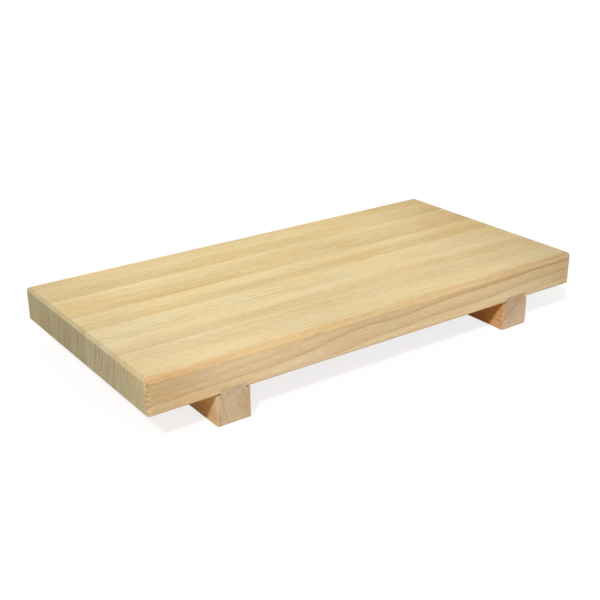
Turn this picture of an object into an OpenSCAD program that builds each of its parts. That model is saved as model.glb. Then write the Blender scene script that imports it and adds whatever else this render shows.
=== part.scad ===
// Footed cutting board: a thick wooden board, edge-glued from six staves, that stands
// on two bar feet. Each foot has a dovetail along its top, which is driven into a groove
// across the underside of all six staves and shows at the front and back edges.
// X runs along the board, Y from the front to the back and Z up. The origin is on the
// ground under the middle of the board.

/* [Board] */
// Length of the board, along the grain
board_length = 420; // [360:1:480]
// Thickness of the board
board_thickness = 28.5; // [22:0.5:40]

/* [Staves] */
// Width of the stave at the back edge
back_edge_stave_width = 48; // [20:0.5:60]
// Width of the second stave from the back
back_inner_stave_width = 39.5; // [20:0.5:60]
// Width of the third stave from the back
back_middle_stave_width = 26.5; // [20:0.5:60]
// Width of the fourth stave from the back
front_middle_stave_width = 27; // [20:0.5:60]
// Width of the fifth stave from the back
front_inner_stave_width = 24.5; // [20:0.5:60]
// Width of the stave at the front edge
front_edge_stave_width = 44.5; // [20:0.5:60]

/* [Edges] */
// Bevel on the two long top edges, measured along each face
long_edge_bevel = 3.8; // [1:0.1:6]
// Bevel on the two short top edges, measured along each face
end_edge_bevel = 2.5; // [1:0.1:6]
// Rounding of the four upright corners of the board
corner_radius = 4.5; // [0.5:0.1:8]
// Rounding of the lower edges of the board
lower_edge_radius = 2; // [0.4:0.1:3]
// Rounding of the arrises on both sides of a bevel
arris_radius = 1.2; // [0.2:0.1:1.6]

/* [Feet] */
// Width of a foot, along the board
foot_width = 28; // [20:0.5:45]
// Clear height between the ground and the underside of the board
foot_height = 25; // [15:0.5:40]
// Distance from the end of the board to the outer side of the nearer foot
foot_inset = 54; // [30:0.5:90]
// Rounding of the lower edges and upright corners of a foot
foot_edge_radius = 0.8; // [0.2:0.1:2]

/* [Dovetail] */
// Width of the shoulder on each side of a foot's neck
shoulder_width = 3.2; // [1:0.1:5]
// Gap between a foot's shoulders and the underside of the board
shoulder_gap = 0.6; // [0.1:0.1:2]
// Width of the bevel along each lower edge of the groove
mouth_bevel_width = 2.6; // [0.5:0.1:4]
// Height of the bevel along each lower edge of the groove
mouth_bevel_height = 1.5; // [0.3:0.1:2]
// Depth of the groove in the underside of the board
groove_depth = 4; // [2:0.1:8]
// Lean of the dovetail's flanks from upright, in degrees
flank_angle = 15; // [5:1:20]
// Gap between the dovetail and its groove, at the flanks and over the top
tail_clearance = 0.05; // [0.02:0.01:0.3]

/* [Hidden] */
$fn = 48;

// Stave widths in order, from the back edge to the front edge
stave_widths = [
    back_edge_stave_width,
    back_inner_stave_width,
    back_middle_stave_width,
    front_middle_stave_width,
    front_inner_stave_width,
    front_edge_stave_width
];
board_width = sum_of_first(stave_widths, len(stave_widths));

// Place of the feet, and the parts of a foot's section
foot_x = board_length / 2 - foot_inset - foot_width / 2;
shoulder_z = foot_height - shoulder_gap;
neck_half = foot_width / 2 - shoulder_width;
throat_z = foot_height + mouth_bevel_height;
groove_top = foot_height + groove_depth;
tail_top = groove_top - tail_clearance;

// How far a cutting shape runs past the face that it cuts
overcut = 1;

// Sum of the first n values of a list
function sum_of_first(values, n) = n == 0 ? 0 : values[n - 1] + sum_of_first(values, n - 1);

// Half width of a dovetail at height z, above the throat where its neck ends
function tail_half(z) = neck_half + (z - throat_z) * tan(flank_angle);

// What a rounding takes off the corner at the origin, between two faces that run
// from it in the given directions, in degrees
module rounding_waste(radius, from, to) {
    half = (to - from) / 2;
    inward = [cos(from + half), sin(from + half)];
    reach = radius / tan(half);
    middle = radius / sin(half) * inward;
    difference() {
        polygon([
            -radius * inward,
            reach * [cos(from), sin(from)],
            middle,
            reach * [cos(to), sin(to)]
        ]);
        translate(middle) circle(radius);
    }
}

// Shape together with its mirror image in x
module both_sides() {
    for (flip = [0, 1])
        mirror([flip, 0, 0]) children();
}

// What a rounding takes off the two lower corners of a section that stands on y = 0
module lower_corner_waste(width, radius) {
    both_sides()
        translate([width / 2, 0]) rounding_waste(radius, 90, 180);
}

// Section of the board that stands on y = 0: bevelled at the top and rounded below
module board_section(width, bevel) {
    half = width / 2;
    difference() {
        polygon([
            [-half, 0],
            [half, 0],
            [half, board_thickness - bevel],
            [half - bevel, board_thickness],
            [bevel - half, board_thickness],
            [-half, board_thickness - bevel]
        ]);
        lower_corner_waste(width, lower_edge_radius);
        both_sides() {
            translate([half, board_thickness - bevel]) rounding_waste(arris_radius, 135, 270);
            translate([half - bevel, board_thickness]) rounding_waste(arris_radius, 180, 315);
        }
    }
}

// Rectangle seen from above, with its four corners rounded
module rounded_plan(length, width, radius) {
    difference() {
        square([length, width], center = true);
        both_sides()
            for (flip = [0, 1])
                mirror([0, flip, 0])
                    translate([length / 2, width / 2]) rounding_waste(radius, 180, 270);
    }
}

// Runs a section in y and z along the X axis, centred
module along_x(length) {
    rotate([90, 0, 90]) linear_extrude(length, center = true) children();
}

// Runs a section in x and z along the Y axis, centred
module along_y(length) {
    rotate([90, 0, 0]) linear_extrude(length, center = true) children();
}

// The whole board before it is parted into staves and grooved
module board_blank() {
    translate([0, 0, foot_height])
        intersection() {
            along_x(board_length) board_section(board_width, long_edge_bevel);
            along_y(board_width) board_section(board_length, end_edge_bevel);
            linear_extrude(board_thickness) rounded_plan(board_length, board_width, corner_radius);
        }
}

// Groove for one foot, right across the underside of the board: a bevelled mouth, the throat
// that holds the foot's neck, and flanks that spread to the top
module groove() {
    throat_half = neck_half + tail_clearance;
    mouth_half = throat_half + mouth_bevel_width;
    top_half = tail_half(groove_top) + tail_clearance;
    along_y(board_width + 2 * overcut)
        polygon([
            [-mouth_half, foot_height - overcut],
            [mouth_half, foot_height - overcut],
            [mouth_half, foot_height],
            [throat_half, throat_z],
            [top_half, groove_top],
            [-top_half, groove_top],
            [-throat_half, throat_z],
            [-mouth_half, foot_height]
        ]);
}

// One stave, counted from the back edge, with its part of both grooves
module stave(index) {
    back_y = board_width / 2 - sum_of_first(stave_widths, index);
    difference() {
        intersection() {
            board_blank();
            translate([-board_length / 2 - overcut, back_y - stave_widths[index], foot_height - overcut])
                cube([board_length + 2 * overcut, stave_widths[index], board_thickness + 2 * overcut]);
        }
        for (side = [-1, 1])
            translate([side * foot_x, 0, 0]) groove();
    }
}

// Section of a foot: bar, shoulders, neck and dovetail
module foot_section() {
    half = foot_width / 2;
    difference() {
        polygon([
            [-half, 0],
            [half, 0],
            [half, shoulder_z],
            [neck_half, shoulder_z],
            [neck_half, throat_z],
            [tail_half(tail_top), tail_top],
            [-tail_half(tail_top), tail_top],
            [-neck_half, throat_z],
            [-neck_half, shoulder_z],
            [-half, shoulder_z]
        ]);
        lower_corner_waste(foot_width, foot_edge_radius);
    }
}

// Side view of a foot, as long as the board is wide
module foot_side() {
    difference() {
        translate([-board_width / 2, 0]) square([board_width, tail_top]);
        lower_corner_waste(board_width, foot_edge_radius);
    }
}

// One foot, with its ends flush with the board's front and back edges
module foot(side) {
    translate([side * foot_x, 0, 0])
        intersection() {
            along_y(board_width) foot_section();
            along_x(foot_width) foot_side();
            linear_extrude(tail_top) rounded_plan(foot_width, board_width, foot_edge_radius);
        }
}

module back_edge_stave() {
    color([0.85, 0.75, 0.54]) stave(0);
}

module back_inner_stave() {
    color([0.87, 0.77, 0.57]) stave(1);
}

module back_middle_stave() {
    color([0.88, 0.78, 0.58]) stave(2);
}

module front_middle_stave() {
    color([0.89, 0.79, 0.60]) stave(3);
}

module front_inner_stave() {
    color([0.88, 0.78, 0.58]) stave(4);
}

module front_edge_stave() {
    color([0.89, 0.79, 0.60]) stave(5);
}

module left_foot() {
    color([0.80, 0.67, 0.52]) foot(-1);
}

module right_foot() {
    color([0.80, 0.66, 0.51]) foot(1);
}

back_edge_stave();
back_inner_stave();
back_middle_stave();
front_middle_stave();
front_inner_stave();
front_edge_stave();
left_foot();
right_foot();
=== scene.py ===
import math

import bpy
from mathutils import Matrix, Vector


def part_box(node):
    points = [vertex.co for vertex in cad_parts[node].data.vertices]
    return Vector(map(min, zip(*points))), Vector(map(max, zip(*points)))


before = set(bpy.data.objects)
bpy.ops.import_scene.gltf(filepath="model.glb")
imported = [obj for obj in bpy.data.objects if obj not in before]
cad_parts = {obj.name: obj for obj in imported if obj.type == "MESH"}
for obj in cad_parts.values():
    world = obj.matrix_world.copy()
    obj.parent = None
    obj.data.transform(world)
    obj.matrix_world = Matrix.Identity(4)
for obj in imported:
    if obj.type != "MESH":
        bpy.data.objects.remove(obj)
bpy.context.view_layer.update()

# Places in the part's frame, in millimetres

MM = 0.001
FRONT_STAVE = "front_edge_stave"


def corners_mm(node):
    """Lowest and highest corner of a CAD node, in millimetres."""
    low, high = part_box(node)
    return low / MM, high / MM


front_low, front_high = corners_mm(FRONT_STAVE)
BOARD_FRONT = front_low.y
BOARD_UNDERSIDE = front_low.z
BOARD_TOP = front_high.z
FRONT_STAVE_BACK = front_high.y

# Node helpers


class Graph:
    """The node tree of one material, with a short call for each kind of node that the woods use."""

    def __init__(self, name):
        self.material = bpy.data.materials.new(name)
        self.material.use_nodes = True
        self.tree = self.material.node_tree
        self.tree.nodes.clear()

    def add(self, kind, **settings):
        node = self.tree.nodes.new(kind)
        for key, value in settings.items():
            setattr(node, key, value)
        return node

    def plug(self, socket, value):
        """Links a socket to another one, or gives it a constant value."""
        if isinstance(value, bpy.types.NodeSocket):
            self.tree.links.new(value, socket)
        elif value is not None:
            socket.default_value = value

    def calc(self, operation, a, b=None, c=None, clamp=False):
        node = self.add("ShaderNodeMath", operation=operation, use_clamp=clamp)
        for socket, value in zip(node.inputs, (a, b, c)):
            self.plug(socket, value)
        return node.outputs[0]

    def times(self, a, b):
        return self.calc("MULTIPLY", a, b)

    def less(self, a, b):
        return self.calc("SUBTRACT", a, b)

    def added(self, total, value, amount):
        """Total plus amount times value."""
        return self.calc("MULTIPLY_ADD", value, amount, total)

    def between(self, share, at_none, at_full):
        """A number that goes from at_none, where share is 0, to at_full, where share is 1."""
        return self.calc("MULTIPLY_ADD", share, at_full - at_none, at_none)

    def vector(self, x, y, z):
        node = self.add("ShaderNodeCombineXYZ")
        for socket, value in zip(node.inputs, (x, y, z)):
            self.plug(socket, value)
        return node.outputs[0]

    def axes(self, value):
        node = self.add("ShaderNodeSeparateXYZ")
        self.plug(node.inputs[0], value)
        return node.outputs[0], node.outputs[1], node.outputs[2]

    def place_mm(self):
        """Object coordinates in millimetres."""
        coords = self.add("ShaderNodeTexCoord").outputs["Object"]
        node = self.add("ShaderNodeVectorMath", operation="SCALE")
        self.plug(node.inputs[0], coords)
        node.inputs["Scale"].default_value = 1 / MM
        return node.outputs[0]

    def noise(self, place, size, shift=(0.0, 0.0, 0.0), detail=2.0):
        """Soft noise about 0, from about -0.5 to 0.5, whose blobs have the given size in millimetres."""
        mapping = self.add("ShaderNodeMapping", vector_type="POINT")
        self.plug(mapping.inputs["Vector"], place)
        mapping.inputs["Location"].default_value = shift
        mapping.inputs["Scale"].default_value = [1 / length for length in size]
        node = self.add("ShaderNodeTexNoise", noise_dimensions="3D")
        self.plug(node.inputs["Vector"], mapping.outputs[0])
        node.inputs["Scale"].default_value = 1.0
        node.inputs["Detail"].default_value = detail
        node.inputs["Roughness"].default_value = 0.5
        return self.less(node.outputs["Fac"], 0.5)

    def noise_along(self, value, length, shift):
        """Soft noise about 0 along one value."""
        node = self.add("ShaderNodeTexNoise", noise_dimensions="1D")
        self.plug(node.inputs["W"], self.calc("ADD", self.calc("DIVIDE", value, length), shift))
        node.inputs["Scale"].default_value = 1.0
        node.inputs["Detail"].default_value = 1.0
        return self.less(node.outputs["Fac"], 0.5)

    def draw(self, value, shift):
        """A number from 0 to 1 that is drawn afresh for each whole value, the same in every run."""
        node = self.add("ShaderNodeTexWhiteNoise", noise_dimensions="1D")
        self.plug(node.inputs["W"], self.calc("ADD", value, shift))
        return node.outputs["Value"]

    def rise(self, value, turn):
        """Smooth rise from 0 at the first number of turn to 1 at the second."""
        node = self.add("ShaderNodeMapRange", interpolation_type="SMOOTHSTEP")
        self.plug(node.inputs["Value"], value)
        node.inputs["From Min"].default_value, node.inputs["From Max"].default_value = turn
        return node.outputs["Result"]

    def curve(self, value, top, points):
        """A curve through the given points of (place, height), with heights from 0 to top."""
        node = self.add("ShaderNodeFloatCurve")
        start, end = points[0][0], points[-1][0]
        spots = [((place - start) / (end - start), height / top) for place, height in points]
        line = node.mapping.curves[0]
        line.points[0].location = spots[0]
        line.points[1].location = spots[-1]
        for spot in spots[1:-1]:
            line.points.new(*spot)
        node.mapping.update()
        share = self.calc("DIVIDE", self.less(value, start), end - start, clamp=True)
        self.plug(node.inputs["Value"], share)
        return self.times(node.outputs[0], top)

    def blend(self, share, first, second, mode="MIX"):
        """Two colours mixed, or multiplied, as far as share says."""
        node = self.add("ShaderNodeMix", data_type="RGBA", blend_type=mode)
        self.plug(node.inputs["Factor"], share)
        for name, value in (("A", first), ("B", second)):
            socket = [s for s in node.inputs if s.name == name and s.type == "RGBA"][0]
            self.plug(socket, value if isinstance(value, bpy.types.NodeSocket) else (*value, 1.0))
        return [s for s in node.outputs if s.type == "RGBA"][0]

    def tinted(self, share, colour, tint):
        """Colour multiplied by a tint, as far as share says."""
        return self.blend(share, colour, self.blend(1.0, colour, tint, "MULTIPLY"))

    def finish(self, colour, roughness, height, specular):
        """Ends the tree in one shader, with its relief in millimetres."""
        bump = self.add("ShaderNodeBump")
        self.plug(bump.inputs["Height"], height)
        bump.inputs["Strength"].default_value = 1.0
        bump.inputs["Distance"].default_value = MM
        shader = self.add("ShaderNodeBsdfPrincipled")
        self.plug(shader.inputs["Base Color"], colour)
        self.plug(shader.inputs["Roughness"], roughness)
        self.plug(shader.inputs["Normal"], bump.outputs[0])
        shader.inputs["Specular IOR Level"].default_value = specular
        output = self.add("ShaderNodeOutputMaterial")
        self.plug(output.inputs["Surface"], shader.outputs[0])
        return self.material


# Planed wood

PALE = (0.848, 0.677, 0.376)
DEEP = (0.50, 0.31, 0.08)
LATE = (0.46, 0.26, 0.09)
GREENISH = (0.985, 1.03, 1.13)
ORANGE = (1.015, 0.97, 0.87)

CLOUD_SIZE = (110.0, 26.0, 26.0)
BAND_SIZE = (75.0, 4.5, 4.5)
STREAK_SIZE = (85.0, 1.3, 1.3)
FIBRE_SIZE = (26.0, 0.45, 0.45)
FLECK_SIZE = (9.0, 1.1, 1.1)
HUE_SIZE = (70.0, 22.0, 22.0)

CLOUD_DEPTH = 0.45
BAND_DEPTH = 0.26
STREAK_DEPTH = 0.24
FIBRE_DEPTH = 0.26
FLECK_DEPTH = 0.62
RING_DEPTH = 0.20
LATE_SHARE = 0.30
HUE_CONTRAST = 1.8

ROUGHNESS = 0.58
END_ROUGHER = 0.14
FIBRE_ROUGHER = 0.16
RING_RELIEF = 0.03
FIBRE_RELIEF = 0.05
SPECULAR = 0.25


def planed_wood(g, place, tone, rings, ends, seed, after):
    """Material of planed softwood from its tone, from pale 0 to deep 1, and its late wood.

    Clouds, bands, streaks, fibres and flecks run along the first axis of place. After() tints
    the colour at the end."""
    cloud = g.noise(place, CLOUD_SIZE, (0.0, seed, 0.0), detail=1.0)
    band = g.noise(place, BAND_SIZE, (seed, seed, 0.0), detail=1.0)
    streak = g.noise(place, STREAK_SIZE, (seed, 0.0, seed))
    fibre = g.noise(place, FIBRE_SIZE, (seed, 0.0, 0.0), detail=3.0)
    fleck = g.noise(place, FLECK_SIZE, (0.0, seed, seed), detail=1.0)
    hue = g.noise(place, HUE_SIZE, (0.0, seed, seed))
    tone = g.added(tone, cloud, CLOUD_DEPTH)
    tone = g.added(tone, band, BAND_DEPTH)
    tone = g.added(tone, streak, STREAK_DEPTH)
    tone = g.added(tone, fibre, FIBRE_DEPTH)
    tone = g.added(tone, fleck, FLECK_DEPTH)
    tone = g.added(tone, rings, RING_DEPTH)
    colour = g.blend(g.calc("MINIMUM", g.calc("MAXIMUM", tone, 0.0), 1.0), PALE, DEEP)
    colour = g.blend(g.calc("MULTIPLY", rings, LATE_SHARE, clamp=True), colour, LATE)
    drift = g.blend(g.calc("MULTIPLY_ADD", hue, HUE_CONTRAST, 0.5, clamp=True), GREENISH, ORANGE)
    colour = after(g.blend(1.0, colour, drift, "MULTIPLY"))
    roughness = g.added(g.added(ROUGHNESS, ends, END_ROUGHER), fibre, FIBRE_ROUGHER)
    height = g.added(g.times(fibre, FIBRE_RELIEF), rings, RING_RELIEF)
    return g.finish(colour, roughness, height, SPECULAR)


def late_wood(g, count, thinness):
    """Late wood of rings that are counted from edge to edge.

    It is 1 on the late edge, at a whole count, and falls to 0 at the next one, where it starts
    again at once. A larger thinness makes a thinner line."""
    return g.calc("POWER", g.less(1.0, g.calc("FRACT", count)), thinness)


RING_THINNESS = 3.0
RINGS_PER_SWING = 2.6
RING_BREAK_SIZE = (60.0, 1.0, 1.0)
RING_STEP = 9.0
RING_BREAKS = 1.8
RING_WEIGHT = 0.9


def growth_rings(g, across, along, spacing, uneven, seed, alike):
    """Late wood of straight rings, from the distance across them and along them, in millimetres.

    The rings swing about their even places by up to half of uneven, counted in rings. Each ring has
    its own weight, of at least alike, which comes and goes along the grain."""
    swing = g.noise_along(across, spacing * RINGS_PER_SWING, seed)
    count = g.added(g.calc("DIVIDE", across, spacing), swing, uneven)
    number = g.calc("FLOOR", count)
    spot = g.vector(along, g.times(number, RING_STEP), seed)
    coming = g.noise(spot, RING_BREAK_SIZE, detail=1.0)
    weight = g.between(g.draw(number, seed), alike, 1.0)
    weight = g.times(weight, g.added(RING_WEIGHT, coming, RING_BREAKS))
    return g.times(late_wood(g, count, RING_THINNESS), weight)


# Parts of a piece's surface, by the way that they face

ENDS_TURN = (0.86, 0.985)
UPRIGHT_TURN = (0.6, 0.2)
BEVEL_TURN = (0.25, 0.48)
CORNER_TURN = (0.12, 0.42)
TOP_TURN = (0.80, 0.96)


def face_shares(g, grain_axis):
    """How far a face is end grain, a long side, a long or end bevel, an upright corner and the top."""
    nx, ny, nz = g.axes(g.add("ShaderNodeTexCoord").outputs["Normal"])
    sideways = [g.calc("ABSOLUTE", nx), g.calc("ABSOLUTE", ny)]
    up = g.calc("MAXIMUM", nz, 0.0)
    ends = g.rise(sideways[grain_axis], ENDS_TURN)
    upright = g.rise(g.calc("ABSOLUTE", nz), UPRIGHT_TURN)
    return {
        "ends": ends,
        "sides": g.times(upright, g.less(1.0, ends)),
        "long_bevel": g.rise(g.times(up, sideways[1]), BEVEL_TURN),
        "end_bevel": g.rise(g.times(up, sideways[0]), BEVEL_TURN),
        "corner": g.rise(g.times(sideways[0], sideways[1]), CORNER_TURN),
        "top": g.rise(up, TOP_TURN),
    }


# Tints of the board's faces, and where they change along x or y

END_TINT_BACK = (0.505, 0.628, 0.82)
END_TINT_FRONT = (0.645, 0.765, 0.955)
END_BEVEL_BACK = (0.60, 0.63, 0.634)
END_BEVEL_FRONT = (0.695, 0.722, 0.722)
END_FORWARD_TURN = (20.0, -110.0)

BEVEL_TINT = (0.80, 0.722, 0.662)
BEVEL_TINT_LEFT = (0.798, 0.673, 0.558)
BEVEL_TINT_RIGHT = (0.74, 0.677, 0.651)
BEVEL_LEFT_TURN = (-90.0, -150.0)
BEVEL_RIGHT_TURN = (70.0, 150.0)
BEVEL_FORWARD_TURN = (60.0, -60.0)
BACK_BEVEL_SHARE = 0.4

# The upright corners get flecks between a darker and a paler tint; the pale flecks are painted glints of
# light.
CORNER_DARK = (0.83, 0.84, 0.83)
CORNER_GLINT = (1.11, 1.15, 1.16)
CORNER_GLINT_SIZE = (4.0, 4.0, 3.1)
CORNER_GLINT_SHIFT = (5.0, 0.0, 2.0)
CORNER_GLINT_TURN = (-0.08, 0.10)

SHADED = (0.915, 0.90, 0.90)
LEFT_SHADE = ((-210, 1.0), (-185, 0.75), (-165, 0.35), (-140, 0.0))

# Painted shade: the light falls off towards the right end, so the wood is darkened more and more to the
# right.
LIGHT_FALLOFF_TINT = (0.75, 0.705, 0.625)
LIGHT_FALLOFF_TINT_NEAR = (0.70, 0.657, 0.583)
LIGHT_FALLOFF_TINT_FRONT = (0.74, 0.72, 0.68)
LIGHT_FALLOFF = (
    (-210, 0.0), (-130, 0.0), (-90, 0.08), (0, 0.2), (100, 0.28),
    (140, 0.5), (165, 0.72), (185, 0.85), (200, 1.0), (210, 1.0),
)
END_LIGHT_FALLOFF = 0.3


def board_tints(g, place, shares, falloff_tint, colour):
    """Tints the board's end grain, bevels, upright corners and the left end of its top.

    Everything gets painted shade, a light falloff that darkens more and more towards the right, but the
    end grain only a little."""
    x, y, _ = g.axes(place)
    forward = g.rise(y, END_FORWARD_TURN)
    colour = g.tinted(shares["ends"], colour, g.blend(forward, END_TINT_BACK, END_TINT_FRONT))
    colour = g.tinted(shares["end_bevel"], colour, g.blend(forward, END_BEVEL_BACK, END_BEVEL_FRONT))
    bevel = g.blend(g.rise(x, BEVEL_LEFT_TURN), BEVEL_TINT, BEVEL_TINT_LEFT)
    bevel = g.blend(g.rise(x, BEVEL_RIGHT_TURN), bevel, BEVEL_TINT_RIGHT)
    bevel_share = g.between(g.rise(y, BEVEL_FORWARD_TURN), BACK_BEVEL_SHARE, 1.0)
    colour = g.tinted(g.times(shares["long_bevel"], bevel_share), colour, bevel)
    # Painted glints: pale flecks on the upright corners.
    flecks = g.rise(g.noise(place, CORNER_GLINT_SIZE, CORNER_GLINT_SHIFT), CORNER_GLINT_TURN)
    colour = g.tinted(shares["corner"], colour, g.blend(flecks, CORNER_DARK, CORNER_GLINT))
    colour = g.tinted(g.times(g.curve(x, 1.0, LEFT_SHADE), shares["top"]), colour, SHADED)
    # Painted shade of the light falloff towards the right, less on the end grain.
    falloff_share = g.times(g.curve(x, 1.0, LIGHT_FALLOFF), g.between(shares["ends"], 1.0, END_LIGHT_FALLOFF))
    return g.tinted(falloff_share, colour, falloff_tint)


# Straight-grained staves

STAVES = {
    "back_edge_stave": dict(
        spacing=4.2, uneven=0.4, alike=0.85, lean=15.0, seed=3.1,
        left=2.8, right=0.7, fading=(-190.0, -50.0), end=1.5, tint=(0.995, 0.995, 0.955),
        tones=(
            (0.0, 0.21), (0.2, 0.25), (0.32, 0.22), (0.45, 0.15),
            (0.53, 0.12), (0.62, 0.22), (1.0, 0.265),
        ),
    ),
    "back_inner_stave": dict(
        spacing=3.4, uneven=1.5, alike=0.15, lean=15.0, seed=7.7,
        left=2.1, right=1.3, fading=(-200.0, 20.0), end=3.7, tint=(0.99, 0.99, 0.957),
        tones=((0.0, 0.02), (0.12, 0.04), (0.3, 0.16), (0.5, 0.25), (0.75, 0.28), (1.0, 0.30)),
    ),
    "back_middle_stave": dict(
        spacing=3.4, uneven=1.5, alike=0.15, lean=15.0, seed=12.3,
        left=1.1, right=0.4, fading=(-200.0, 20.0), end=2.5, tint=(0.995, 0.984, 0.95),
        tones=((0.0, 0.08), (0.3, 0.07), (0.45, 0.15), (0.6, 0.32), (1.0, 0.34)),
    ),
    "front_middle_stave": dict(
        spacing=4.6, uneven=1.5, alike=0.15, lean=14.0, seed=17.9,
        left=0.4, right=0.7, fading=(-200.0, 20.0), end=1.7, tint=(0.968, 0.978, 0.98),
        tones=((0.0, 0.08), (0.3, 0.05), (0.5, 0.06), (0.75, 0.12), (1.0, 0.14)),
    ),
    "front_inner_stave": dict(
        spacing=3.2, uneven=1.5, alike=0.15, lean=15.0, seed=22.4,
        left=1.7, right=1.0, fading=(-200.0, 20.0), end=4.2, tint=(1.0, 1.01, 1.05),
        tones=((0.0, 0.03), (0.25, 0.05), (0.45, 0.18), (0.6, 0.28), (1.0, 0.30)),
    ),
}
STAVE_WANDER_SIZE = (170.0, 30.0, 30.0)
STAVE_WANDER = 1.6
CALM_SIDES = 0.8
CALM_END_BEVEL = 0.5
CALM_LONG_BEVEL = 0.7


def stave_wood(node, spacing, uneven, alike, lean, seed, left, right, fading, end, tint, tones):
    """Straight-grained stave, whose rings lie along the board and lean a little from upright.

    The rings' strength is left at the left end, right further on, and end on the end grain. Fading
    is the stretch of x from one to the other. Tones are (share of the width from the back, tone)."""
    low, high = corners_mm(node)
    g = Graph(node + "_wood")
    place = g.place_mm()
    x, y, z = g.axes(place)
    across = g.added(y, g.less(z, BOARD_TOP), math.tan(math.radians(lean)))
    wander = g.noise(place, STAVE_WANDER_SIZE, (0.0, 0.0, seed), detail=1.0)
    across = g.added(across, wander, STAVE_WANDER)
    shares = face_shares(g, 0)
    strength = g.between(g.rise(x, fading), left, right)
    strength = g.added(strength, shares["ends"], g.less(end, strength))
    calm = g.added(1.0, shares["sides"], -CALM_SIDES)
    calm = g.added(calm, shares["end_bevel"], -CALM_END_BEVEL)
    calm = g.added(calm, shares["long_bevel"], -CALM_LONG_BEVEL)
    strength = g.times(strength, calm)
    rings = g.times(growth_rings(g, across, x, spacing, uneven, seed, alike), strength)
    tone = g.curve(g.calc("DIVIDE", g.less(high.y, across), high.y - low.y), 1.0, tones)

    def finished(colour):
        return board_tints(g, place, shares, LIGHT_FALLOFF_TINT, g.blend(1.0, colour, tint, "MULTIPLY"))

    return planed_wood(g, place, tone, rings, shares["ends"], seed, finished)


# Lines on the front edge stave

STRONG_LINE = (
    (-210, 8.0), (-180, 8.4), (-150, 9.3), (-110, 9.5), (-80, 11.4), (-50, 15.6), (-20, 18.2), (10, 16.9),
    (40, 18.6), (70, 20.2), (100, 20.4), (130, 20.8), (160, 22.4), (185, 22.3), (210, 23.0),
)
LOWER_LINE = (
    (-210, 2.8), (-180, 2.8), (-157, 3.6), (-110, 1.6), (-80, 2.4), (-50, 2.9), (-20, 5.8), (10, 7.0),
    (40, 9.1), (70, 9.6), (100, 9.6), (130, 11.4), (160, 13.0), (185, 13.7), (210, 14.8),
)
LINE_REACH = 30.0
FRONT_RING_WEIGHTS = ((-2, 0.5), (0, 0.72), (1, 1.0), (2, 0.5), (4, 0.22), (12, 0.3))
FRONT_TONES = ((0.0, 0.06), (0.08, 0.20), (0.35, 0.245), (0.5, 0.16), (0.9, 0.145), (1.0, 0.12))
FRONT_SEED = 27.5

INNER_RING_START = 6.0
INNER_RINGS_UP = 0.065
RINGS_BACK = 0.22
INNER_TURN = (1.0, 12.0)
INNER_UNEVEN_LENGTH = 11.0
INNER_UNEVEN_SHIFT = 4.0
INNER_UNEVENNESS = 1.2
FRONT_STRENGTH_TURN = (-150.0, 150.0)
FRONT_STRENGTH_LEFT = 0.95
FRONT_STRENGTH_RIGHT = 1.40
FRONT_STRENGTH_ENDS = 4.3
CALM_FRONT_CORNER_TURN = (22.0, 8.0)


def front_rings(g, x, height, behind, ends):
    """Late wood of the front stave, whose rings cut the front face at a low angle as wavy lines.

    The two drawn lines are (x, height above the underside). On the front face a ring's number is
    the height above the lower line, over the gap between the two, and each number has its weight.
    Further back the lines straighten out."""
    lower = g.curve(x, LINE_REACH, LOWER_LINE)
    upper = g.curve(x, LINE_REACH, STRONG_LINE)
    wavy = g.calc("DIVIDE", g.less(height, lower), g.less(upper, lower))
    straight = g.times(g.less(height, INNER_RING_START), INNER_RINGS_UP)
    inner = g.rise(behind, INNER_TURN)
    mixed = g.added(wavy, g.less(straight, wavy), inner)
    uneven = g.times(g.noise_along(behind, INNER_UNEVEN_LENGTH, INNER_UNEVEN_SHIFT), inner)
    count = g.added(g.added(mixed, uneven, INNER_UNEVENNESS), behind, RINGS_BACK)
    weight = g.curve(g.calc("FLOOR", count), 1.0, FRONT_RING_WEIGHTS)
    strength = g.between(g.rise(x, FRONT_STRENGTH_TURN), FRONT_STRENGTH_LEFT, FRONT_STRENGTH_RIGHT)
    strength = g.added(strength, ends, FRONT_STRENGTH_ENDS)
    calm = g.less(1.0, g.times(ends, g.rise(behind, CALM_FRONT_CORNER_TURN)))
    return g.times(g.times(late_wood(g, count, RING_THINNESS), weight), g.times(strength, calm))


# Tints and tones of the front edge stave; heights are above the underside, depths behind the front

FRONT_STAVE_TINT = (1.0, 1.015, 1.05)
# Painted shade: the plain front face is darker than the top of the same wood, and bluer against the warm
# floor bounce.
FRONT_FACE_SHADE_TINT = (0.876, 0.907, 1.057)
# Painted light: the low part of the front face is lighter and bluer, standing in for light bounced up
# from the floor.
LOW_FRONT_BOUNCE_LIGHT = (1.075, 1.105, 1.145)
UNDER_BEVEL_TINT = (1.0, 0.975, 0.92)
LEFT_FRONT_TINT = (0.99, 0.99, 1.10)
AT_FRONT_DEPTHS = (4.0, 1.0)
LOW_FRONT_BOUNCE_HEIGHTS = (12.0, 3.0)
CALM_FRONT_BEVEL = 0.6

LEFT_FRONT_TURN = (-110.0, -210.0)
LEFT_FRONT_HEIGHTS = (6.0, 18.0)
LEFT_FRONT_LOW_TONE = 0.36
LEFT_FRONT_HIGH_TONE = 0.48
LEFT_FRONT_BEVEL_SHARE = 0.65

UNDER_BEVEL_HEIGHTS = (21.5, 24.3)
UNDER_BEVEL_TONE = 0.14
TOP_EDGE_DEPTHS = (11.0, 4.0)
TOP_EDGE_TURN = (-70.0, -140.0)
TOP_EDGE_TONE = 0.07
TOP_EDGE_LEFT_TONE = 0.19


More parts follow.
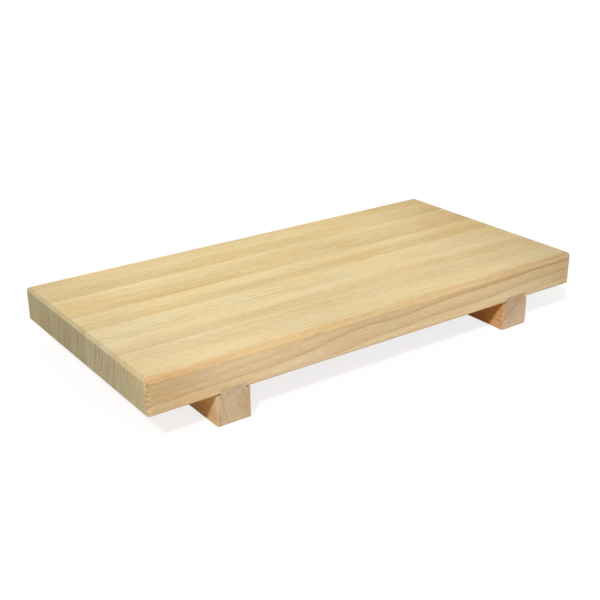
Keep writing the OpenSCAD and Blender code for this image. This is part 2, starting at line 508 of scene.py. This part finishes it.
def front_stave_wood():
    """Front edge stave: wavy lines on the front face and a calm top."""
    g = Graph(FRONT_STAVE + "_wood")
    place = g.place_mm()
    x, y, z = g.axes(place)
    height = g.less(z, BOARD_UNDERSIDE)
    behind = g.less(y, BOARD_FRONT)
    shares = face_shares(g, 0)
    at_front = g.rise(behind, AT_FRONT_DEPTHS)
    plain_front = g.times(at_front, g.less(1.0, shares["long_bevel"]))
    rings = front_rings(g, x, height, behind, shares["ends"])
    rings = g.times(rings, g.added(1.0, shares["long_bevel"], -CALM_FRONT_BEVEL))
    left_front = g.times(g.rise(x, LEFT_FRONT_TURN), at_front)
    left_front = g.times(left_front, g.between(shares["long_bevel"], 1.0, LEFT_FRONT_BEVEL_SHARE))
    left_tone = g.between(g.rise(height, LEFT_FRONT_HEIGHTS), LEFT_FRONT_LOW_TONE, LEFT_FRONT_HIGH_TONE)
    under_bevel = g.times(plain_front, g.rise(height, UNDER_BEVEL_HEIGHTS))
    top_edge = g.times(shares["top"], g.rise(behind, TOP_EDGE_DEPTHS))
    edge_tone = g.between(g.rise(x, TOP_EDGE_TURN), TOP_EDGE_TONE, TOP_EDGE_LEFT_TONE)
    width = FRONT_STAVE_BACK - BOARD_FRONT
    tone = g.curve(g.calc("DIVIDE", g.less(FRONT_STAVE_BACK, y), width), 1.0, FRONT_TONES)
    tone = g.added(tone, left_front, left_tone)
    tone = g.added(tone, under_bevel, UNDER_BEVEL_TONE)
    tone = g.added(tone, top_edge, edge_tone)

    def finished(colour):
        colour = g.blend(1.0, colour, FRONT_STAVE_TINT, "MULTIPLY")
        # Painted shade on the plain front face, against the top of the same wood.
        colour = g.tinted(plain_front, colour, FRONT_FACE_SHADE_TINT)
        # Painted light bounced up from the floor onto the low part of the front face.
        colour = g.tinted(g.times(plain_front, g.rise(height, LOW_FRONT_BOUNCE_HEIGHTS)), colour, LOW_FRONT_BOUNCE_LIGHT)
        colour = g.tinted(under_bevel, colour, UNDER_BEVEL_TINT)
        colour = g.tinted(left_front, colour, LEFT_FRONT_TINT)
        # Painted shade of the light falloff towards the right end, with its own tints near the front
        # face.
        return board_tints(g, place, shares, g.blend(at_front, LIGHT_FALLOFF_TINT_NEAR, LIGHT_FALLOFF_TINT_FRONT), colour)

    return planed_wood(g, place, tone, rings, shares["ends"], FRONT_SEED, finished)


# Feet

FEET = {
    "left_foot": dict(
        lean=13.0, spacing=5.8, first_ring=-5.7, seed=31.3, thinness=13.0,
        strength=((-8, 0.4), (-2, 1.9), (4, 1.9), (6, 0.5), (30, 0.6)),
        side_tint=(0.80, 0.785, 0.79), end_tint=(0.69, 0.72, 0.95),
    ),
    "right_foot": dict(
        lean=-47.0, spacing=3.6, first_ring=-26.7, seed=36.8, thinness=1.6,
        strength=((-6, 1.5), (0, 2.2), (13, 2.2), (15, 0.4), (36, 0.25)),
        side_tint=(0.84, 0.645, 0.54), end_tint=(0.686, 0.72, 1.07),
    ),
}
FOOT_WANDER_SIZE = (120.0, 14.0, 14.0)
FOOT_WANDER = 1.0
FOOT_CLOUD_SIZE = (160.0, 12.0, 12.0)
FOOT_TONE = 0.15
FOOT_RING_REACH = 3.0
FOOT_SIDE_RINGS = 0.45
# Painted shade: away from its ends the foot is deeper and more orange, standing in for the shade under
# the board.
FOOT_PAINTED_SHADE_TINT = (1.06, 0.90, 0.62)
FOOT_PAINTED_SHADE_TURN = (97.0, 84.0)


def foot_wood(node, lean, spacing, first_ring, seed, thinness, strength, side_tint, end_tint):
    """Foot: the grain runs from front to back, so the rings show on the front and back ends.

    Strength is (distance across the rings from the first one, strength there). Away from its ends
    the foot gets painted shade, deeper and more orange, standing in for the shade under the board."""
    low, high = corners_mm(node)
    g = Graph(node + "_wood")
    x, y, z = g.axes(g.place_mm())
    along_grain = g.vector(y, x, z)
    turn = math.radians(lean)
    across = g.times(g.less(x, (low.x + high.x) / 2), math.cos(turn))
    across = g.added(across, z, math.sin(turn))
    wander = g.noise(along_grain, FOOT_WANDER_SIZE, (0.0, 0.0, seed), detail=1.0)
    across = g.less(g.added(across, wander, FOOT_WANDER), first_ring)
    ends = face_shares(g, 1)["ends"]
    rings = late_wood(g, g.calc("DIVIDE", across, spacing), thinness)
    rings = g.times(rings, g.curve(across, FOOT_RING_REACH, strength))
    rings = g.times(rings, g.between(ends, FOOT_SIDE_RINGS, 1.0))
    tone = g.calc("ADD", g.noise(along_grain, FOOT_CLOUD_SIZE, (seed, 0.0, 0.0)), FOOT_TONE)

    def finished(colour):
        colour = g.tinted(g.less(1.0, ends), colour, side_tint)
        # Painted shade under the board, away from the foot's ends.
        colour = g.tinted(g.rise(g.calc("ABSOLUTE", y), FOOT_PAINTED_SHADE_TURN), colour, FOOT_PAINTED_SHADE_TINT)
        return g.tinted(ends, colour, end_tint)

    return planed_wood(g, along_grain, tone, rings, ends, seed, finished)


def dress(node, material):
    """Gives a CAD node its wood."""
    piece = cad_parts[node]
    piece.data.materials.clear()
    piece.data.materials.append(material)


for stave, values in STAVES.items():
    dress(stave, stave_wood(stave, **values))
dress(FRONT_STAVE, front_stave_wood())
for foot, values in FEET.items():
    dress(foot, foot_wood(foot, **values))

# Stage and light

FLOOR_HALF = 9.0
FLOOR_GLOW = 0.80
FLOOR_GREY = (0.22, 0.22, 0.22)
FLOOR_BOUNCE = (0.60, 0.37, 0.12)
WORLD_LOW = 0.14
WORLD_HIGH = 0.28
WHITE = (1.0, 1.0, 1.0, 1.0)
LAMPS = {
    "key_lamp": dict(to_light=(-0.541, -0.433, 0.7215), strength=2.60, spread=7.0),
    "fill_lamp": dict(to_light=(0.25, -0.95, 0.20), strength=0.80, spread=60.0),
    "back_lamp": dict(to_light=(-0.10, 0.985, 0.15), strength=1.4, spread=40.0),
    "side_lamp": dict(to_light=(0.97, -0.20, 0.15), strength=1.3, spread=40.0),
}


def backdrop_share(tree):
    """1 for what the camera sees, also mirrored or through glass, 0 for the light on the object."""
    path = tree.nodes.new("ShaderNodeLightPath")
    share = path.outputs["Is Camera Ray"]
    for ray in ("Is Glossy Ray", "Is Transmission Ray"):
        either = tree.nodes.new("ShaderNodeMath")
        either.operation = "MAXIMUM"
        tree.links.new(share, either.inputs[0])
        tree.links.new(path.outputs[ray], either.inputs[1])
        share = either.outputs[0]
    return share


def floor_material():
    """Near white with the object's shadow to the camera; gives a warm light back to the object."""
    g = Graph("floor_white")
    matt = g.add("ShaderNodeBsdfDiffuse")
    matt.inputs["Color"].default_value = (*FLOOR_GREY, 1.0)
    glow = g.add("ShaderNodeEmission")
    glow.inputs["Strength"].default_value = FLOOR_GLOW
    seen = g.add("ShaderNodeAddShader")
    g.plug(seen.inputs[0], matt.outputs[0])
    g.plug(seen.inputs[1], glow.outputs[0])
    bounce = g.add("ShaderNodeBsdfDiffuse")
    bounce.inputs["Color"].default_value = (*FLOOR_BOUNCE, 1.0)
    chosen = g.add("ShaderNodeMixShader")
    g.plug(chosen.inputs[0], backdrop_share(g.tree))
    g.plug(chosen.inputs[1], bounce.outputs[0])
    g.plug(chosen.inputs[2], seen.outputs[0])
    output = g.add("ShaderNodeOutputMaterial")
    g.plug(output.inputs["Surface"], chosen.outputs[0])
    return g.material


def pale_floor():
    """Flat square on the ground."""
    mesh = bpy.data.meshes.new("floor")
    corners = [(x * FLOOR_HALF, y * FLOOR_HALF, 0.0) for x, y in ((-1, -1), (1, -1), (1, 1), (-1, 1))]
    mesh.from_pydata(corners, [], [(0, 1, 2, 3)])
    mesh.materials.append(floor_material())
    floor = bpy.data.objects.new("floor", mesh)
    bpy.context.scene.collection.objects.link(floor)


def studio_world():
    """Soft light, stronger from overhead than from low down, and white as a backdrop."""
    world = bpy.data.worlds.new("studio")
    world.use_nodes = True
    tree = world.node_tree
    sky = tree.nodes["Background"]
    towards = tree.nodes.new("ShaderNodeTexCoord")
    parts = tree.nodes.new("ShaderNodeSeparateXYZ")
    level = tree.nodes.new("ShaderNodeMapRange")
    level.inputs["To Min"].default_value = WORLD_LOW
    level.inputs["To Max"].default_value = WORLD_HIGH
    seen = tree.nodes.new("ShaderNodeMapRange")
    seen.inputs["To Max"].default_value = 1.0
    tree.links.new(towards.outputs["Generated"], parts.inputs[0])
    tree.links.new(parts.outputs[2], level.inputs["Value"])
    tree.links.new(backdrop_share(tree), seen.inputs["Value"])
    tree.links.new(level.outputs["Result"], seen.inputs["To Min"])
    tree.links.new(seen.outputs["Result"], sky.inputs["Strength"])
    sky.inputs["Color"].default_value = WHITE
    bpy.context.scene.world = world


def soft_lamp(name, to_light, strength, spread):
    """Broad even lamp that shines from the given direction."""
    lamp = bpy.data.lights.new(name, "SUN")
    lamp.energy = strength
    lamp.angle = math.radians(spread)
    holder = bpy.data.objects.new(name, lamp)
    holder.rotation_mode = "QUATERNION"
    holder.rotation_quaternion = Vector(to_light).to_track_quat("Z", "Y")
    bpy.context.scene.collection.objects.link(holder)


pale_floor()
studio_world()
for lamp_name, values in LAMPS.items():
    soft_lamp(lamp_name, **values)

# Camera

CAMERA_PLACE = (-0.47353, -0.65277, 0.35768)
CAMERA_YAW = 35.402
CAMERA_PITCH = 22.430
CAMERA_ROLL = 0.384
CAMERA_LENS = 60.97
CAMERA_SENSOR = 36.0


def photo_camera():
    """Camera at the photograph's viewing angle, from its yaw, pitch and roll."""
    yaw, pitch, roll = (math.radians(a) for a in (CAMERA_YAW, CAMERA_PITCH, CAMERA_ROLL))
    ahead = Vector((math.sin(yaw) * math.cos(pitch), math.cos(yaw) * math.cos(pitch), -math.sin(pitch)))
    level_right = Vector((math.cos(yaw), -math.sin(yaw), 0.0))
    level_down = ahead.cross(level_right)
    right = math.cos(roll) * level_right + math.sin(roll) * level_down
    down = math.cos(roll) * level_down - math.sin(roll) * level_right
    lens = bpy.data.cameras.new("camera")
    lens.lens = CAMERA_LENS
    lens.sensor_width = CAMERA_SENSOR
    camera = bpy.data.objects.new("camera", lens)
    turn = Matrix((right, -down, -ahead)).transposed()
    camera.matrix_world = Matrix.Translation(CAMERA_PLACE) @ turn.to_4x4()
    bpy.context.scene.collection.objects.link(camera)
    bpy.context.scene.camera = camera


photo_camera()
bpy.context.scene.view_settings.view_transform = "Standard"
